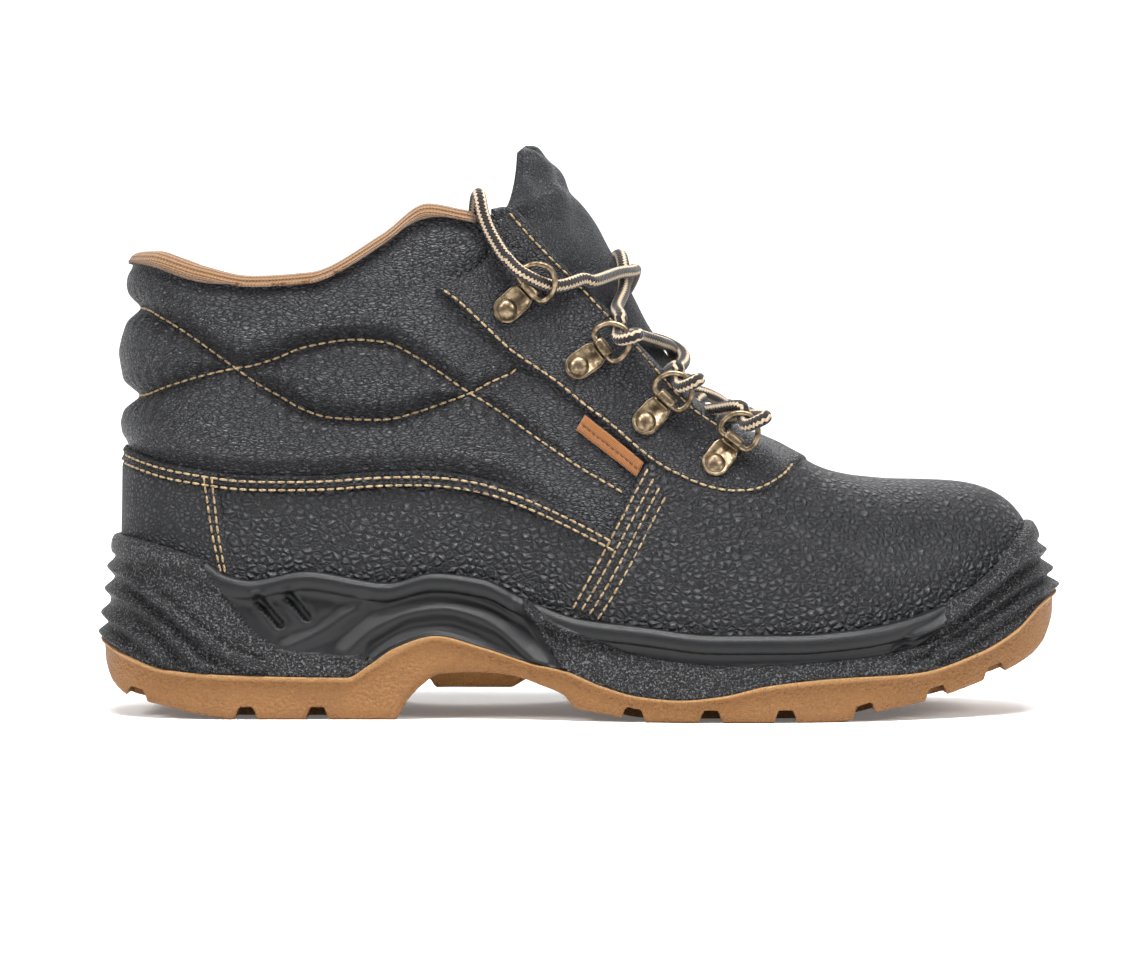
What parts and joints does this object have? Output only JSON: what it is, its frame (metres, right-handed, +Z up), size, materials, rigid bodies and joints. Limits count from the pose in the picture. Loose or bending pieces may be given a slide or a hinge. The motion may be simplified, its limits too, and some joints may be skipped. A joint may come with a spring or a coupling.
{
  "type": "safety boot",
  "caption": "Right ankle-height safety boot with a padded collar, D-ring lacing, a hollow upper, a tongue and a two-colour moulded sole with lugs and a raised arch",
  "frame": {"origin": "on the floor, in the middle of the boot's length and width", "axes": "+X towards the toe, +Z up, the outer side of the boot towards -Y"},
  "size_m": [0.305, 0.1084, 0.1789],
  "materials": {
    "leather": "black pebbled leather with a satin gloss, stitched in beige",
    "midsole": "black foamed polyurethane, part coarse grain and part smooth satin",
    "outsole": "caramel moulded polyurethane with a fine pebble texture",
    "lining": "tan knitted lining, slightly napped",
    "hardware": "antique brass, darkened in the hollows",
    "lace": "round braided lace, dark with beige zigzag stripes",
    "label": "orange-tan woven tab, stitched along its middle"
  },
  "bodies": {
    "root": {"outsole": "outsole", "midsole": "midsole", "insole": "lining", "upper": "leather", "tongue": "leather", "label_tab": "label", "ring_plate_outer_1": "hardware", "ring_plate_outer_2": "hardware", "ring_plate_outer_3": "hardware", "ring_plate_outer_4": "hardware", "ring_plate_inner_1": "hardware", "ring_plate_inner_2": "hardware", "ring_plate_inner_3": "hardware", "ring_plate_inner_4": "hardware", "lace_ring_outer_1": "hardware", "lace_ring_outer_2": "hardware", "lace_ring_outer_3": "hardware", "lace_ring_outer_4": "hardware", "lace_ring_inner_1": "hardware", "lace_ring_inner_2": "hardware", "lace_ring_inner_3": "hardware", "lace_ring_inner_4": "hardware", "lace_crossings": "lace", "lace_end": "lace"}
  },
  "joints": []
}
